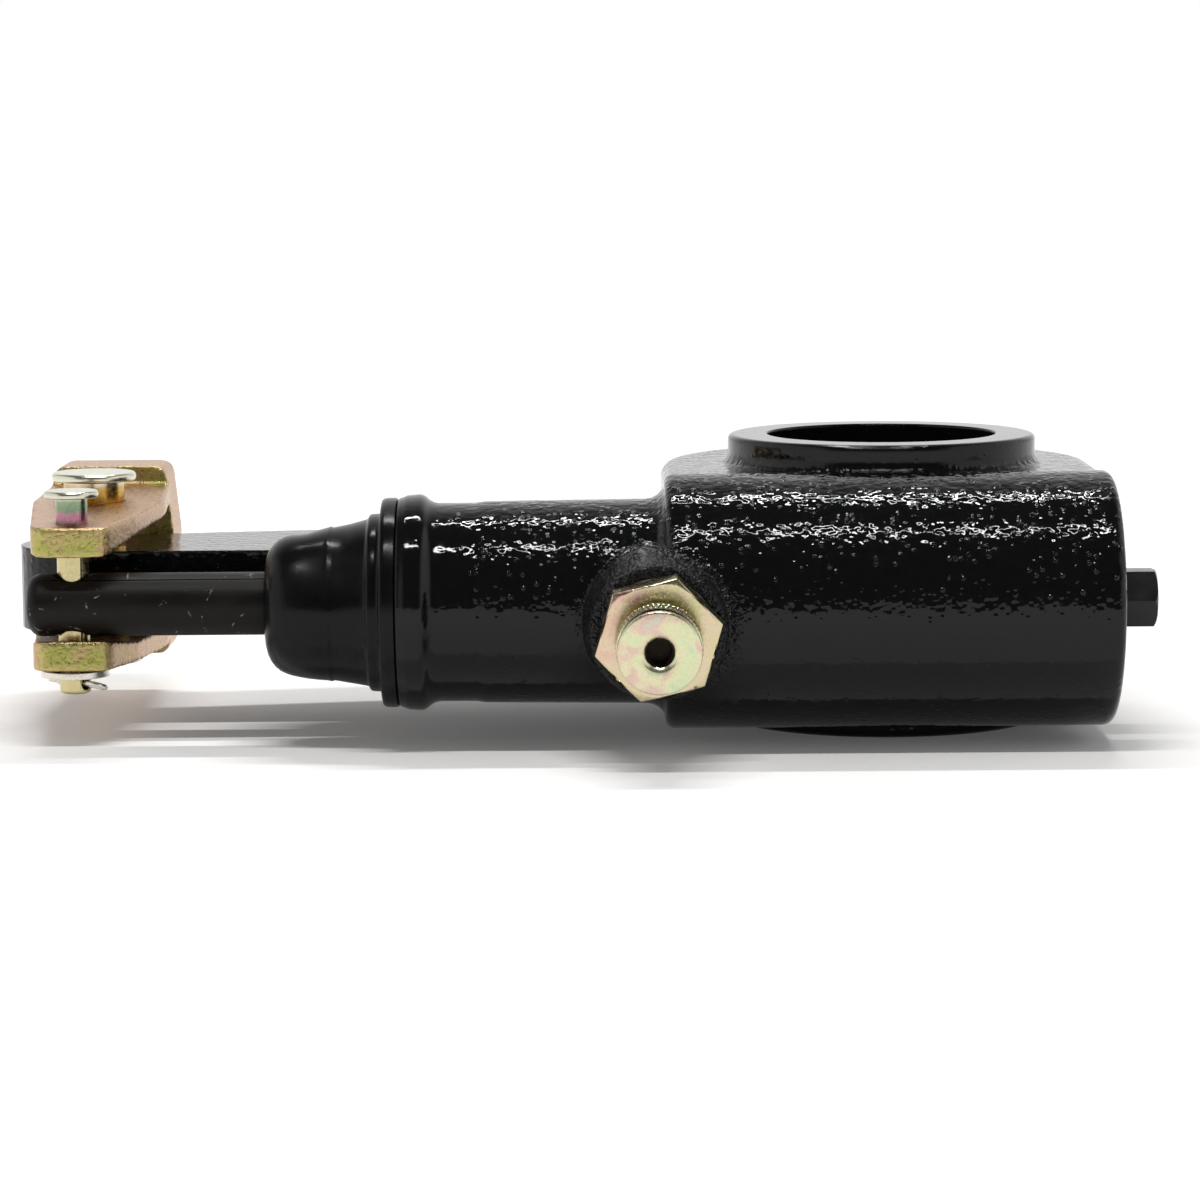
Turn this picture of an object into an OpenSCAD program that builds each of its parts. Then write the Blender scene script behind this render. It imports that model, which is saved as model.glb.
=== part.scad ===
// Automatic slack adjuster for an S-cam drum brake, pull pawl type.
// The origin lies on the camshaft axis, level with the worm axis. Z is the camshaft axis,
// minus X runs along the arm to the clevis, and minus Y is the worm side.

/* [Layout] */
// camshaft axis to large clevis pin
arm_length = 165.1; // [163:0.1:168]
// camshaft axis to worm axis, also the spacing of the two clevis pins
axis_gap = 34.9; // [34.5:0.1:35.5]
// camshaft axis to pawl axis, along the barrel
pawl_x = 47.8; // [47:0.1:49]
// downward tilt of the pawl
pawl_tilt = 6; // [5:0.5:7]

/* [Hub casting] */
// radius of the worm bulge of the hub
hub_half = 25.7; // [25.2:0.1:26.4]
// drop of the flat sides of the hub below the crown of the bulge
hub_crease = 0.7; // [0.4:0.1:1]
// camshaft axis to the barrel side of the hub
hub_left = 46.2; // [45.4:0.1:47]
// camshaft axis to the adjusting side of the hub
hub_right = 43.8; // [43.2:0.1:44.6]
// rounding of the cast edges
cast_edge = 3; // [2:0.5:4]
// rounding at the ends of the bulge
bulge_edge = 2; // [1.5:0.1:3]
// radius of the raised ring round the camshaft
ring_r = 32.1; // [31:0.1:33]
// height of the ring above the worm axis
ring_top = 30.7; // [30.2:0.1:31.4]
// flare at the foot of the ring
ring_flare = 2.4; // [2:0.1:3]
// radius of the lower boss
boss_r = 35; // [33.5:0.5:37]
// drop of the lower boss below the worm axis
boss_drop = 28.5; // [28:0.1:30]

/* [Barrel and arm] */
// outer radius of the barrel behind its mouth
barrel_r = 20.3; // [20.1:0.1:20.6]
// outer radius of the mouth of the barrel
mouth_r = 20; // [19.6:0.1:20.1]
// camshaft axis to the step between mouth and barrel
mouth_x = 83; // [80:0.5:86]
// camshaft axis to the open end of the barrel
barrel_end = 99.6; // [99:0.1:101]
// radius of the lip at the open end
lip_r = 21.8; // [21.4:0.1:22.6]
// width of the lip
lip_w = 6.7; // [5:0.1:8]
// radius of the bore for the piston
barrel_bore_r = 15; // [14.8:0.1:15.4]
// thickness of the arm
arm_thick = 17.1; // [16:0.1:17.5]
// radius of the eye of the arm
eye_r = 15.5; // [15:0.1:16.4]
// near edge of the arm at the barrel, from the camshaft axis
arm_edge = 15.2; // [14.5:0.1:15.6]

/* [Worm and gear] */
// teeth on the gear
gear_teeth = 20; // [19:1:21]
// pitch radius of the worm
worm_pitch_r = 9.4; // [9.2:0.1:9.6]
// height of the teeth above the pitch line
tooth_rise = 2; // [1.8:0.1:2.1]
// depth of the teeth below the pitch line
tooth_drop = 2.5; // [2.4:0.1:2.7]
// play between the teeth at the pitch line
tooth_play = 0.5; // [0.4:0.05:0.7]
// width of the gear teeth
gear_w = 16; // [14:0.5:16.5]
// radius of the gear bearing in the ring
cam_bore_r = 24; // [23.8:0.1:24.4]
// teeth in the camshaft spline
spline_teeth = 28; // [24:1:30]
// inner radius of the camshaft spline
spline_minor_r = 17.6; // [17.2:0.1:17.9]
// outer radius of the camshaft spline
spline_major_r = 19.05; // [18.8:0.05:19.3]
// radius of the worm bearing at the adjusting end
worm_journal_r = 6.9; // [6.7:0.1:7.4]
// adjusting hex across flats
adjust_flats = 11.1; // [10:0.1:11.4]
// camshaft axis to the end of the adjusting hex
adjust_end = 52.6; // [52:0.1:56]

/* [Piston and rod] */
// camshaft axis to the worm end of the piston
piston_near = 37.2; // [37:0.1:38]
// camshaft axis to the rod end of the piston
piston_far = 84; // [83.5:0.1:85]
// radius over the helical teeth of the piston
piston_tooth_r = 14.2; // [13.8:0.1:14.3]
// helical teeth on the piston
piston_teeth = 16; // [14:1:18]
// radius of the rod
rod_r = 6.35; // [6.2:0.05:6.5]
// rod end beyond the pin
rod_tail = 9; // [8:0.1:10]
// radius of the rod head in the piston
rod_head_r = 9; // [8.6:0.1:9.4]
// thickness of the rod head
rod_head_w = 3; // [2.5:0.1:3.2]

/* [Boot] */
// length of the boot beyond the barrel
boot_l = 26.7; // [25:0.1:29]
// radius of the seating ring of the boot
boot_ring_r = 21.15; // [20.6:0.05:21.3]
// width of the seating ring
boot_ring_w = 3.2; // [2.5:0.1:3.5]
// radius of the dome at its wide end
boot_dome_r = 16.85; // [16.4:0.05:17.3]
// radius of the dome at its narrow end
boot_nose_r = 14.5; // [14:0.1:15]
// rounding of the nose
boot_round = 4.6; // [3.5:0.1:5.2]

/* [Pawl] */
// boss face beyond the worm bulge
boss_stand = 2.8; // [2.4:0.1:3.4]
// radius of the boss face
pawl_face_r = 13.6; // [13.2:0.1:14.2]
// hex cap across flats
cap_flats = 22.2; // [21:0.1:23]
// thickness of the hex cap
cap_w = 5; // [4.8:0.1:5.4]
// turn of the hex cap about its axis
cap_turn = 14; // [0:1:59]
// radius of the pawl head
pawl_head_r = 6.25; // [6:0.05:6.4]
// radius of the pawl stem
pawl_stem_r = 4; // [3.8:0.05:4.2]
// radius of the knob
knob_r = 8.45; // [8:0.05:9]
// length of the knob
knob_l = 7; // [6.5:0.1:8]
// gap between cap and knob
knob_gap = 3; // [2.8:0.1:3.5]
// radius of the puller hole in the knob
puller_r = 3.05; // [3:0.05:3.2]

/* [Clevis] */
// thickness of the ears
ear_thick = 4.1; // [3.8:0.1:4.5]
// thickening of each ear at its front edge, on the inside
pad_rise = 2; // [1.6:0.1:2.3]
// half of the clear gap at the front of the ears
ear_gap = 8.3; // [8.2:0.1:8.8]
// spread of each ear towards the base
ear_spread = 1.8; // [1.5:0.1:2.2]
// height of the clevis above the worm axis
clevis_lift = 1.9; // [1.6:0.1:2.1]
// width of the base
clevis_w = 27.2; // [26.6:0.1:28]
// large pin to the front edge of the ears
ear_front = 43; // [42:0.1:44]
// large pin to the back of the base
base_back = 42; // [41:0.1:44]
// large pin to the inner face of the base
base_front = 26; // [25.6:0.1:27]
// half height of the base
base_half = 20.5; // [19.5:0.1:21]
// radius of the push rod thread
push_rod_r = 7.3; // [7:0.05:7.9]
// radius of the large pin
large_pin_r = 6.35; // [6.2:0.05:6.5]
// radius of the small pin
small_pin_r = 3.175; // [3.1:0.025:3.25]
// swing of the clevis to each side
clevis_swing = 11; // [9:0.5:11]

/* [Hidden] */
$fn = 64;

// radial play of a shaft in its bearing
fit = 0.05;
// play between pieces that must stay apart
play = 0.3;
// overlap that keeps a cut or a union clean
eps = 0.2;
// half length of a cut that passes right through
through = 60;
// depth by which a cast fillet sinks into the face it runs out on
run_out = 0.3;

// back of the hub, a half round between its two sides
hub_r = (hub_left + hub_right) / 2;
hub_mid = (hub_right - hub_left) / 2;
hub_flat = hub_half - hub_crease;

// lip at the open end of the barrel: two tangent arcs lead down to the mouth
lip_crown = 2.4;
lip_hollow = 3.4;
lip_turn = acos(1 - (lip_r - mouth_r) / (lip_crown + lip_hollow));
lip_foot = lip_w - lip_crown + (lip_crown + lip_hollow) * sin(lip_turn);
barrel_draft = 0.3;
barrel_fillet = 4;

// gear chamber
gear_pitch_r = axis_gap - worm_pitch_r;
gear_tip_r = gear_pitch_r + tooth_rise;
gear_root_r = gear_pitch_r - tooth_drop;
chamber_r = gear_tip_r + 0.7;
chamber_top = gear_w / 2 + 0.6;
gear_top = hub_half - 2;
gear_bottom = hub_half - 4;
bearing_top = gear_w / 2 + 0.8;
bearing_bottom = hub_half - 1.2;
snap_w = 1.5;
snap_r = chamber_r + 1.3;
snap_inner_r = chamber_r - 2.7;
seal_w = 2.2;
seal_inner_r = spline_major_r + 1.4;

// worm
axial_pitch = 2 * PI * gear_pitch_r / gear_teeth;
lead_slope = axial_pitch / (2 * PI * worm_pitch_r);
flank = 20;
worm_tip_r = worm_pitch_r + tooth_rise;
worm_root_r = worm_pitch_r - tooth_drop;
thread_w = axial_pitch / 2 - tooth_play;
thread_l = 33.6;
worm_shoulder_r = worm_journal_r + 1.5;
worm_core_r = worm_root_r - 0.9;
relief = 0.8;
worm_chamber_r = worm_tip_r + 0.6;
worm_right = 25;
worm_left = 22;
washer_w = 2.4;
shoulder = worm_right + washer_w + 2 * play;
collar_w = 5;
collar_far = worm_left + play + collar_w;
worm_seal_r = worm_journal_r + 3;
worm_seal_w = 3.2;
drive_r = 6.6;
drive_root_r = 5.4;
drive_teeth = 8;
rod_travel = axis_gap * clevis_swing * PI / 180;

// piston, as distances from the camshaft axis
head_far = piston_far - 4.6;
head_near = head_far - rod_head_w;
socket_near = head_near - play;
land_w = piston_far - socket_near + 2;
drive_bottom = socket_near - 3;
drive_end = drive_bottom - rod_travel - play;
socket_r = rod_head_r + 0.4;

// boot, as distances from the barrel end
step_w = 2.6;
step_r = boot_dome_r + 1;
boot_wall = 2.6;
boot_bead_w = 3.5;

// pawl, as distances from the barrel axis
pawl_face = hub_half + boss_stand;
gasket_w = 1;
cap_bottom = pawl_face + gasket_w;
cap_top = cap_bottom + cap_w;
shank_r = 9;
shank_end = barrel_bore_r + 1.6;
pocket_r = pawl_head_r + fit;
pocket_top = cap_bottom + 1.6;
pawl_rest = piston_tooth_r + play;
spring_bottom = pawl_rest + 5.5;
knob_bottom = cap_top + knob_gap;
stem_top = knob_bottom + knob_l * 0.3;
spring_wire_r = 0.55;
spring_coil_r = (pawl_stem_r + pocket_r) / 2;

// clevis
pin_y = -axis_gap;
ear_slope = tan(ear_spread);
pin_rise = 5.1;
large_rise = 4.2;
small_drop = 5.2;
pad_l = 19;
bushing_r = large_pin_r + 2.2;
large_head_r = large_pin_r + 2.45;
large_head_w = 1.8;
small_head_r = small_pin_r + 2.3;
small_head_w = 1.5;
small_washer_r = 6.9;
small_washer_w = 1.4;
rod_hole_r = small_pin_r + 0.8;
clip_w = 1.5;
cotter_wire_r = 0.55;
cotter_up = 2;
cotter_turn = -38;
cotter_roll = 70;

// height of the outer face of an ear above the middle of the clevis
function ear_out(y) =
  ear_gap + pad_rise + ear_thick / cos(ear_spread) + (y + ear_front) * ear_slope;

// points of an arc
function arc(c, r, from, to, n) =
  [for (i = [0:n]) let (a = from + (to - from) * i / n) [c[0] + r * cos(a), c[1] + r * sin(a)]];

// corner rounding: the points of the arc that replaces corner b between a and c
function corner(a, b, c, r, n) =
  let (u = (a - b) / norm(a - b), v = (c - b) / norm(c - b),
    half = acos(u * v) / 2, m = (u + v) / norm(u + v),
    o = b + m * r / sin(half),
    p = b + u * r / tan(half), q = b + v * r / tan(half),
    s = atan2(p[1] - o[1], p[0] - o[0]), e0 = atan2(q[1] - o[1], q[0] - o[0]),
    turn = e0 - s, e = turn > 180 ? e0 - 360 : turn < -180 ? e0 + 360 : e0)
  arc(o, r, s, e, n);

// outline with every corner rounded
function rounded(pts, r, n = 4) =
  let (k = len(pts))
  [for (i = [0:k - 1]) each corner(pts[(i + k - 1) % k], pts[i], pts[(i + 1) % k], r, n)];

// involute angle at a radius, for a base circle
function involute(base, r) =
  r <= base ? 0 : let (t = sqrt(r * r / (base * base) - 1)) t * 180 / PI - atan(t);

module on_worm_axis() {
  translate([0, pin_y, 0])
    rotate([0, 90, 0])
      children();
}

module on_pawl_axis() {
  translate([-pawl_x, pin_y, 0])
    rotate([90 + pawl_tilt, 0, 0])
      children();
}

module at_large_pin() {
  translate([-arm_length, 0, clevis_lift])
    children();
}

module at_small_pin() {
  translate([-arm_length, pin_y, clevis_lift])
    children();
}

module tube(outer, inner, from, to) {
  translate([0, 0, from])
    difference() {
      cylinder(h = to - from, r = outer);
      translate([0, 0, -eps])
        cylinder(h = to - from + 2 * eps, r = inner);
    }
}

// half section of a round bar with rounded ends
module bar_section(r, from, to, edge) {
  polygon(concat([[0, from]], arc([r - edge, from + edge], edge, -90, 0, 5),
    arc([r - edge, to - edge], edge, 0, 90, 5), [[0, to]]));
}

// star shaped spline section, teeth pointing out
module spline_section(teeth, root, tip) {
  step = 360 / teeth;
  polygon([for (i = [0:teeth - 1], k = [[-0.3, root], [-0.2, tip], [0.2, tip], [0.3, root]])
    k[1] * [cos((i + k[0]) * step), sin((i + k[0]) * step)]]);
}

module hub_form() {
  on_worm_axis()
    rotate_extrude()
      bar_section(hub_half, -hub_left, hub_right, bulge_edge);
  rotate([90, 0, 0])
    linear_extrude(axis_gap)
      polygon(rounded([[-hub_left, -hub_flat], [hub_right, -hub_flat],
        [hub_right, hub_flat], [-hub_left, hub_flat]], cast_edge, 5));
  translate([hub_mid, 0, 0])
    rotate_extrude(angle = 180)
      bar_section(hub_r, -hub_flat, hub_flat, cast_edge);
  rotate_extrude()
    polygon(concat([[0, 0], [ring_r + ring_flare, 0]],
      arc([ring_r + ring_flare, hub_flat + ring_flare - run_out], ring_flare, 270, 180, 6),
      arc([ring_r - 1, ring_top - 1], 1, 0, 90, 3), [[0, ring_top]]));
  rotate_extrude()
    polygon(concat([[0, 0], [0, -boss_drop]], arc([boss_r - 1.5, 1.5 - boss_drop], 1.5, -90, 0, 3),
      [[boss_r, 0]]));
}

module barrel_form() {
  on_worm_axis()
    rotate_extrude()
      polygon(concat([[0, -hub_left + cast_edge], [0, -barrel_end]],
        arc([boot_ring_r - 0.8, 0.8 - barrel_end], 0.8, -90, 0, 3),
        [[lip_r - 0.2, 2 - barrel_end]],
        arc([lip_r - lip_crown, lip_w - lip_crown - barrel_end], lip_crown, 0, lip_turn, 4),
        arc([mouth_r + lip_hollow, lip_foot - barrel_end], lip_hollow, 180 + lip_turn, 180, 4),
        [[mouth_r, -mouth_x - 1], [barrel_r, -mouth_x + 1]],
        arc([barrel_r + barrel_draft + barrel_fillet, -hub_left - barrel_fillet + run_out],
          barrel_fillet, 180, 90, 5),
        [[barrel_r + barrel_draft + barrel_fillet, -hub_left + cast_edge]]));
  on_pawl_axis()
    rotate_extrude()
      polygon(concat([[0, 0], [pawl_face_r + 1.9, 0], [pawl_face_r + 1.5, pawl_face - 9]],
        arc([pawl_face_r - 1, pawl_face - 1], 1, 20, 90, 3), [[0, pawl_face]]));
}

module arm_form() {
  taper = asin((hub_r - eye_r) / arm_length);
  translate([0, 0, -arm_thick / 2])
    linear_extrude(arm_thick)
      polygon(concat(arc([-arm_length, 0], eye_r, 90 + taper, 270, 20),
        [[-barrel_end, -arm_edge], [-hub_left, -arm_edge], [0, 0],
          [hub_mid - (hub_r - 1) * sin(taper), (hub_r - 1) * cos(taper)]]));
}

// casting: hub, worm bulge, barrel, arm and pawl boss
module housing() {
  color("#16171a")
    difference() {
      union() {
        hub_form();
        barrel_form();
        arm_form();
      }
      translate([0, 0, -boss_drop - 1])
        cylinder(h = boss_drop + 1 + chamber_top, r = chamber_r);
      cylinder(h = ring_top + 1, r = cam_bore_r);
      translate([0, 0, -bearing_bottom - snap_w - 0.2])
        cylinder(h = snap_w + 0.2, r = snap_r);
      on_worm_axis() {
        translate([0, 0, -barrel_end - 1])
          cylinder(h = barrel_end + 1 - worm_left - play, r = barrel_bore_r);
        translate([0, 0, -barrel_bore_r * 2])
          cylinder(h = barrel_bore_r * 2 + shoulder, r = worm_chamber_r);
        cylinder(h = hub_right + 1, r = worm_journal_r + fit);
        translate([0, 0, hub_right - worm_seal_w])
          cylinder(h = worm_seal_w + 1, r = worm_seal_r);
        translate([0, 0, -barrel_end - boot_ring_w - 1.2])
          cylinder(h = boot_ring_w + 1.2, r = lip_r + 0.4);
      }
      on_pawl_axis()
        translate([0, 0, barrel_bore_r / 3])
          cylinder(h = pawl_face, r = shank_r);
      translate([-arm_length, 0, -arm_thick])
        cylinder(h = 2 * arm_thick, r = bushing_r);
      translate([hub_mid, chamber_r - 1, 0])
        rotate([-90, 0, 0])
          cylinder(h = hub_r - chamber_r + 2, r = 3);
    }
}

// bearing of the large pin in the eye
module arm_bushing() {
  color("#8a6a3a")
    translate([-arm_length, 0, 0])
      tube(bushing_r, large_pin_r + fit, -arm_thick / 2, arm_thick / 2);
}

// grease fitting on the back of the hub
module grease_fitting() {
  color("#b9b9b4")
    translate([hub_mid, hub_r, 0])
      rotate([-90, 0, 0]) {
        translate([0, 0, -9])
          cylinder(h = 9.2, r = 3);
        translate([0, 0, 0.1])
          cylinder(h = 3.4, r = 4.6, $fn = 6);
        rotate_extrude()
          polygon([[0, 3], [3.2, 3], [3.2, 4.6], [2.1, 6.2], [2.1, 7.4], [3, 8.4], [3, 9.4],
            [1.6, 10.8], [0, 10.8]]);
      }
}

// section of the worm gear, with involute flanks
module gear_section() {
  base = gear_pitch_r * cos(flank);
  at_pitch = involute(base, gear_pitch_r);
  half = 90 / gear_teeth - tooth_play / gear_pitch_r * 45 / PI;
  radii = [for (i = [0:4]) max(base, gear_root_r) + (gear_tip_r - max(base, gear_root_r)) * i / 4];
  rise = [for (r = radii) [r, half + at_pitch - involute(base, r)]];
  root = [gear_root_r, half + at_pitch + 0.4];
  one = concat([[root[0], -root[1]]], [for (p = rise) [p[0], -p[1]]],
    [for (i = [4:-1:0]) rise[i]], [root]);
  polygon([for (k = [0:gear_teeth - 1], p = one)
    let (a = p[1] + k * 360 / gear_teeth - 90) p[0] * [cos(a), sin(a)]]);
}

// worm gear with the camshaft spline in its bore
module cam_gear() {
  twist = gear_w * lead_slope / gear_pitch_r * 180 / PI;
  color("#8d8f92")
    difference() {
      union() {
        translate([0, 0, -gear_w / 2])
          rotate([0, 0, -twist / 2])
            linear_extrude(gear_w, twist = -twist, slices = 4)
              gear_section();
        translate([0, 0, gear_w / 2 - eps])
          cylinder(h = gear_top - gear_w / 2 + eps, r = cam_bore_r - fit);
        translate([0, 0, -gear_bottom])
          cylinder(h = gear_bottom - gear_w / 2 + eps, r = cam_bore_r - fit);
      }
      translate([0, 0, -gear_bottom - 1])
        linear_extrude(gear_bottom + gear_top + 2)
          spline_section(spline_teeth, spline_minor_r, spline_major_r);
    }
}

// ring that closes the gear chamber from below and carries the gear, bevelled to clear the worm
module gear_bearing_ring() {
  color("#77797d")
    rotate_extrude()
      polygon([[cam_bore_r, -bearing_bottom], [chamber_r, -bearing_bottom],
        [chamber_r, -bearing_top - 2.6], [chamber_r - 1.6, -bearing_top], [cam_bore_r, -bearing_top]]);
}

// open spring ring that holds the bearing ring
module gear_retaining_ring() {
  color("#4a4b4e")
    translate([0, 0, -bearing_bottom - snap_w])
      difference() {
        tube(snap_r, snap_inner_r, 0, snap_w);
        translate([0, -4, -eps])
          cube([snap_r + 1, 8, snap_w + 2 * eps]);
      }
}

module gear_seal_upper() {
  color("#232325")
    tube(cam_bore_r, seal_inner_r, gear_top + play, gear_top + play + seal_w);
}

module gear_seal_lower() {
  color("#232325")
    tube(cam_bore_r, seal_inner_r, -gear_bottom - play - seal_w, -gear_bottom - play);
}

// radius of the worm at an axial distance from the middle of its thread
function thread_r(z) =
  let (side = tan(flank), crest = thread_w / 2 - tooth_rise * side)
  max(worm_root_r, min(worm_tip_r, worm_tip_r - (abs(z) - crest) / side));

// section across the single start worm thread
module worm_section() {
  side = tan(flank);
  crest = (thread_w / 2 - tooth_rise * side) * 360 / axial_pitch;
  root = (thread_w / 2 + tooth_drop * side) * 360 / axial_pitch;
  half = [0, crest / 2, crest, (2 * crest + root) / 3, (crest + 2 * root) / 3, root,
    root + (180 - root) / 3, root + (180 - root) * 2 / 3];
  angles = concat(half, [180], [for (i = [7:-1:1]) 360 - half[i]]);
  polygon([for (a = angles) thread_r((a > 180 ? 360 - a : a) / 360 * axial_pitch) * [cos(a), sin(a)]]);
}

// worm with the adjusting hex at one end and the piston spline at the other
module worm_shaft() {
  turns = thread_l / axial_pitch;
  color("#26282b")
    on_worm_axis() {
      translate([0, 0, -thread_l / 2])
        rotate([0, 0, -90 - 180 * turns])
          linear_extrude(thread_l, twist = -360 * turns, slices = 84, $fn = 16)
            worm_section();
      translate([0, 0, -worm_left])
        cylinder(h = worm_left + worm_right, r = worm_core_r);
      translate([0, 0, thread_l / 2 + relief])
        cylinder(h = worm_right - thread_l / 2 - relief, r = worm_shoulder_r);
      translate([0, 0, -worm_left])
        cylinder(h = worm_left - thread_l / 2 - relief, r = worm_shoulder_r);
      translate([0, 0, worm_right - eps])
        cylinder(h = hub_right - worm_right + eps, r = worm_journal_r);
      intersection() {
        rotate([0, 0, 30])
          translate([0, 0, hub_right - eps])
            cylinder(h = adjust_end - hub_right + eps, r = adjust_flats / sqrt(3), $fn = 6);
        rotate_extrude()
          polygon([[0, hub_right - 1], [adjust_flats, hub_right - 1], [adjust_flats, adjust_end - 3.6],
            [adjust_flats / 2, adjust_end], [0, adjust_end]]);
      }
      translate([0, 0, -collar_far - play])
        cylinder(h = collar_far + play - worm_left + eps, r = worm_journal_r);
      translate([0, 0, -drive_end])
        linear_extrude(drive_end - collar_far)
          spline_section(drive_teeth, drive_root_r, drive_r);
    }
}

module worm_thrust_washer() {
  color("#9a9b9d")
    on_worm_axis()
      tube(worm_chamber_r, worm_journal_r + fit, shoulder - washer_w, shoulder);
}

// collar pressed in behind the worm
module worm_collar() {
  color("#7c7e82")
    on_worm_axis()
      tube(barrel_bore_r, worm_journal_r + fit, -collar_far, -worm_left - play);
}

module worm_seal() {
  color("#232325")
    on_worm_axis()
      tube(worm_seal_r, worm_journal_r + fit, hub_right - worm_seal_w, hub_right - 0.6);
}

// piston with helical teeth, sliding on the spline of the worm shaft
module actuator_piston() {
  toothed = piston_far - land_w - piston_near;
  color("#85878a")
    on_worm_axis()
      difference() {
        union() {
          translate([0, 0, -piston_near - toothed])
            linear_extrude(toothed, twist = 70, slices = 9)
              spline_section(piston_teeth, piston_tooth_r - 1.6, piston_tooth_r);
          translate([0, 0, -piston_far])
            cylinder(h = land_w, r = barrel_bore_r - 2 * fit);
        }
        translate([0, 0, -drive_bottom])
          linear_extrude(drive_bottom)
            spline_section(drive_teeth, drive_root_r + play, drive_r + play);
        translate([0, 0, -piston_far - 1])
          cylinder(h = piston_far + 1 - socket_near, r = socket_r);
      }
}

// ring that keeps the rod head in the piston
module piston_retaining_ring() {
  color("#4a4b4e")
    on_worm_axis()
      tube(socket_r, rod_r + 0.4, -piston_far + 0.4, -head_far - play);
}

// rod from the piston to the small clevis pin
module actuator_rod() {
  end = arm_length + rod_tail;
  color("#3a3836")
    difference() {
      on_worm_axis() {
        rotate_extrude()
          polygon(concat([[0, -head_near - 1], [0, -end]],
            arc([rod_r - 2.6, 2.6 - end], 2.6, -90, 0, 5), [[rod_r, -head_near - 1]]));
        translate([0, 0, -head_far])
          cylinder(h = rod_head_w, r = rod_head_r);
      }
      translate([-arm_length, pin_y, -2 * rod_r])
        cylinder(h = 4 * rod_r, r = rod_hole_r);
    }
}

// rubber boot with a seating ring, a step, a dome and a lip on the rod
module boot() {
  neck = boot_l - boot_ring_w - step_w;
  color("#2b2c2e")
    on_worm_axis()
      translate([0, 0, -barrel_end])
        rotate_extrude()
          difference() {
            polygon(concat([[0, boot_bead_w], [barrel_bore_r, boot_bead_w], [barrel_bore_r, 0]],
              arc([boot_ring_r - 0.8, -0.8], 0.8, 90, 0, 3),
              arc([boot_ring_r - 0.8, 0.8 - boot_ring_w], 0.8, 0, -90, 3),
              arc([step_r - 0.8, 0.8 - boot_ring_w - step_w], 0.8, 0, -90, 3),
              [[boot_dome_r, -boot_ring_w - step_w],
                [boot_dome_r - 0.9, -boot_ring_w - step_w - neck * 0.32],
                [boot_dome_r - 1.3, -boot_ring_w - step_w - neck * 0.36]],
              arc([boot_nose_r - boot_round, boot_round - boot_l], boot_round, 8, -90, 6),
              [[0, -boot_l]]));
            polygon([[0, boot_bead_w + 1], [barrel_bore_r - boot_wall, boot_bead_w + 1],
              [boot_dome_r - boot_wall, -boot_ring_w - step_w],
              [boot_nose_r - boot_wall, boot_round - boot_l],
              [boot_nose_r - boot_wall - 1.6, boot_wall + 0.4 - boot_l], [0, boot_wall + 0.4 - boot_l]]);
            translate([0, -boot_l - 1])
              square([rod_r + fit, boot_l]);
          }
}

// hex cap that closes the pawl bore and guides the pawl
module pawl_cap() {
  color("#c9a84e")
    on_pawl_axis()
      difference() {
        union() {
          translate([0, 0, shank_end])
            cylinder(h = cap_bottom - shank_end + eps, r = shank_r);
          rotate([0, 0, cap_turn])
            intersection() {
              translate([0, 0, cap_bottom])
                cylinder(h = cap_w, r = cap_flats / sqrt(3), $fn = 6);
              rotate_extrude()
                polygon([[0, cap_bottom - 1], [cap_flats, cap_bottom - 1], [cap_flats, cap_top - 4.4],
                  [cap_flats / 2, cap_top], [0, cap_top]]);
            }
        }
        translate([0, 0, shank_end - 1])
          cylinder(h = pocket_top - shank_end + 1, r = pocket_r);
        translate([0, 0, pocket_top - eps])
          cylinder(h = cap_w * 2, r = pawl_stem_r + fit);
      }
}

module pawl_gasket() {
  color("#a39b8a")
    on_pawl_axis()
      tube(cap_flats / 2, shank_r, pawl_face, cap_bottom);
}

// pawl: head hollowed to the piston, and stem through the cap
module pawl() {
  color("#9b9c9f")
    difference() {
      on_pawl_axis() {
        translate([0, 0, pawl_rest - 4])
          cylinder(h = spring_bottom - pawl_rest + 4, r = pawl_head_r);
        translate([0, 0, spring_bottom - eps])
          cylinder(h = stem_top - spring_bottom + eps, r = pawl_stem_r);
      }
      on_worm_axis()
        translate([0, 0, -pawl_x - pawl_head_r * 2])
          cylinder(h = pawl_head_r * 4, r = pawl_rest);
    }
}

// coil spring between the pawl head and the cap
module pawl_spring() {
  turns = 5;
  steps = 20;
  sides = 6;
  last = turns * steps;
  length = pocket_top - spring_bottom - 2 * spring_wire_r;
  pts = [for (i = [0:last], k = [0:sides - 1])
    let (a = 360 * i / steps, b = 360 * k / sides, r = spring_coil_r + spring_wire_r * cos(b))
    [r * cos(a), r * sin(a), length * i / last + spring_wire_r * sin(b)]];
  color("#b5b6b8")
    on_pawl_axis()
      translate([0, 0, spring_bottom + spring_wire_r])
        polyhedron(pts, concat([[for (k = [0:sides - 1]) k]],
          [[for (k = [sides - 1:-1:0]) sides * last + k]],
          [for (i = [0:last - 1], k = [0:sides - 1], h = [0, 1])
            let (a = sides * i + k, b = sides * i + (k + 1) % sides)
            h == 0 ? [a, a + sides, b] : [b, a + sides, b + sides]]));
}

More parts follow.
